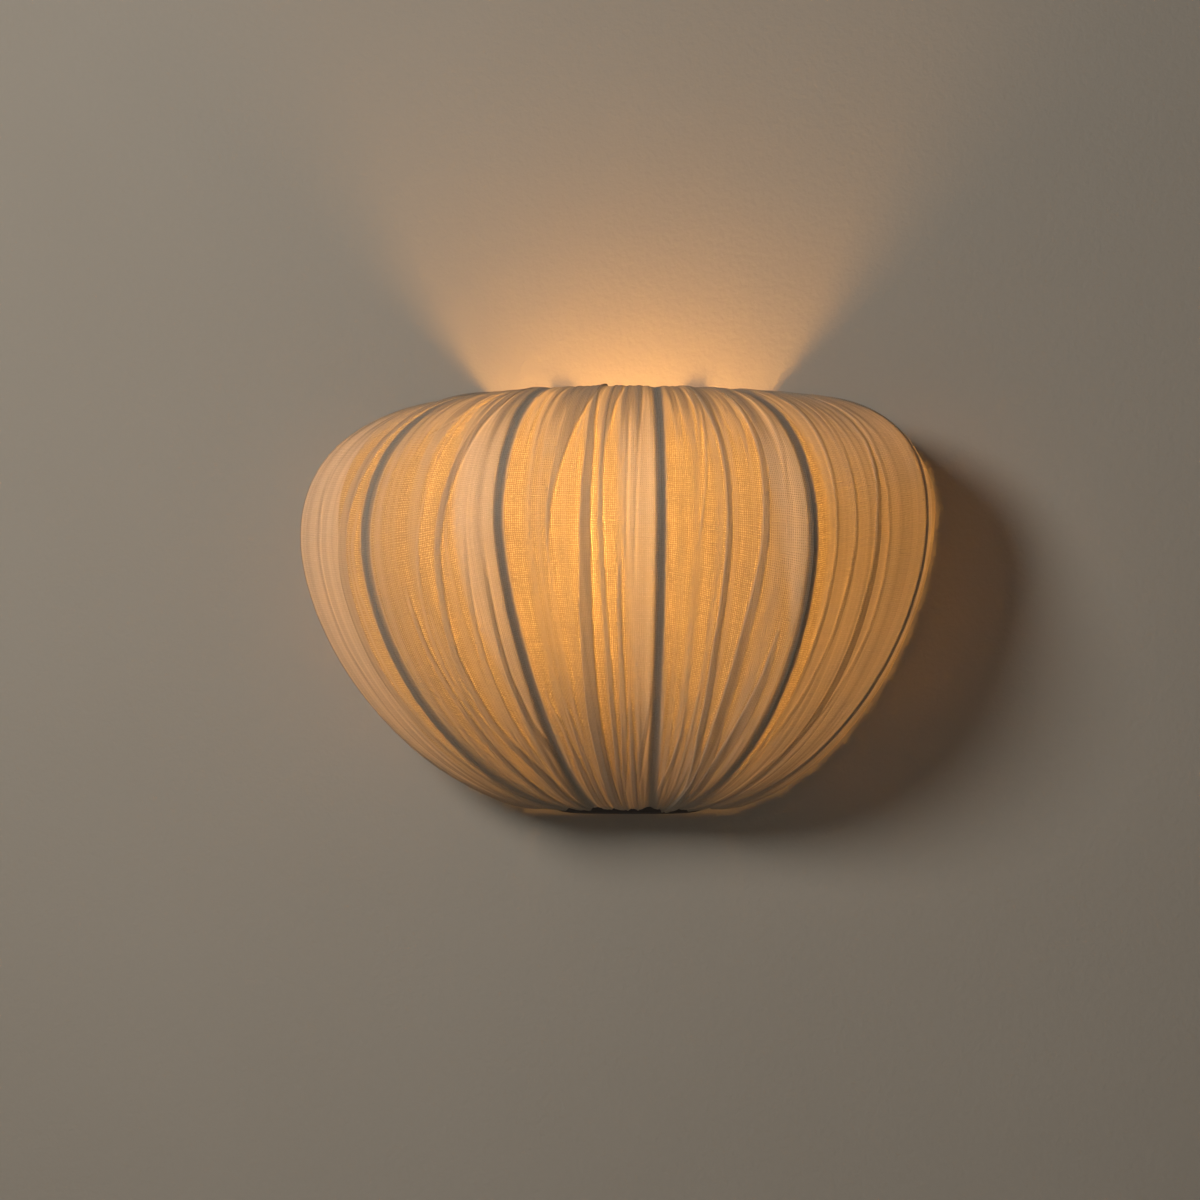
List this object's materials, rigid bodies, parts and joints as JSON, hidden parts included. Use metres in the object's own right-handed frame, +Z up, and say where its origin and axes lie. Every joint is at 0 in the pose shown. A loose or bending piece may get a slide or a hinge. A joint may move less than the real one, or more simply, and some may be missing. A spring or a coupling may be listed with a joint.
{
  "type": "wall light",
  "caption": "Half round wall light: gathered open-weave cloth on a fanned wire frame, open at the top, hung on a lit wall bracket.",
  "frame": {"origin": "centre of the wall plate's back face, on the wall", "axes": "+Z up, the wall is the plane Y = 0 with the light on its -Y side, +X to the right as seen from the room"},
  "size_m": [0.3876, 0.2047, 0.2571],
  "materials": {
    "white_paint": "satin white powder coat",
    "zinc_steel": "zinc plated",
    "black_rubber": "matte",
    "white_plastic": "moulded, satin",
    "cream_plastic": "moulded",
    "earth_insulation": "green sleeve with a yellow stripe",
    "live_insulation": "brown sleeve",
    "neutral_insulation": "blue sleeve",
    "contact_brass": "plain",
    "nickel_cap": "nickel plated",
    "black_plastic": "moulded",
    "driver_green": "circuit board",
    "board_white": "white solder mask with light chips",
    "opal_globe": "opal, satin, lit warm white",
    "frame_paint": "white coated wire",
    "muslin": "open weave natural cotton, lit from inside",
    "muslin_hem": "rolled and sewn cotton",
    "dark_paint": "dark brown satin paint"
  },
  "bodies": {
    "wall_bracket": {"wall_plate": "white_paint", "cable_grommet": "black_rubber", "terminal_block": "white_plastic", "terminal_screws": "zinc_steel", "block_screw": "zinc_steel", "earth_screw": "zinc_steel", "earth_lug": "zinc_steel", "earth_wire": "earth_insulation", "live_wire": "live_insulation", "neutral_wire": "neutral_insulation", "arm_flange": "white_paint", "arm_screws": "zinc_steel", "arm_tube": "white_paint", "arm_elbow": "white_paint", "threaded_nipple": "zinc_steel", "holder_nut": "zinc_steel", "holder_cap": "white_plastic", "holder_insert": "cream_plastic", "centre_contact": "contact_brass", "side_contact": "contact_brass", "holder_thread": "contact_brass", "holder_skirt": "white_plastic"},
    "bulb": {"bulb_cap": "nickel_cap", "bulb_insulator": "black_plastic", "bulb_contact": "nickel_cap", "bulb_collar": "white_plastic", "bulb_driver": "driver_green", "bulb_led_board": "board_white", "bulb_globe": "opal_globe"},
    "shade": {"back_frame": "frame_paint", "top_ring": "frame_paint", "bottom_ring": "frame_paint", "rib_left_inner": "frame_paint", "rib_right_inner": "frame_paint", "rib_left_middle": "frame_paint", "rib_right_middle": "frame_paint", "rib_left_outer": "frame_paint", "rib_right_outer": "frame_paint", "cloth_left_back": "muslin", "cloth_left_outer": "muslin", "cloth_left_inner": "muslin", "cloth_front": "muslin", "cloth_right_inner": "muslin", "cloth_right_outer": "muslin", "cloth_right_back": "muslin", "top_hem": "muslin_hem", "bottom_hem": "muslin_hem", "left_edge_hem": "muslin_hem", "right_edge_hem": "muslin_hem", "bottom_strap": "frame_paint", "bottom_plate": "dark_paint", "bottom_screw": "dark_paint"}
  },
  "joints": [
    {"name": "shade_lift", "type": "slide", "parent": "wall_bracket", "child": "shade", "axis": [0, -0.8192, 0.5736], "range_m": [0, 0.18]},
    {"name": "bulb_lift", "type": "slide", "parent": "wall_bracket", "child": "bulb", "axis": [0, 0, 1], "range_m": [0, 0.165]}
  ]
}
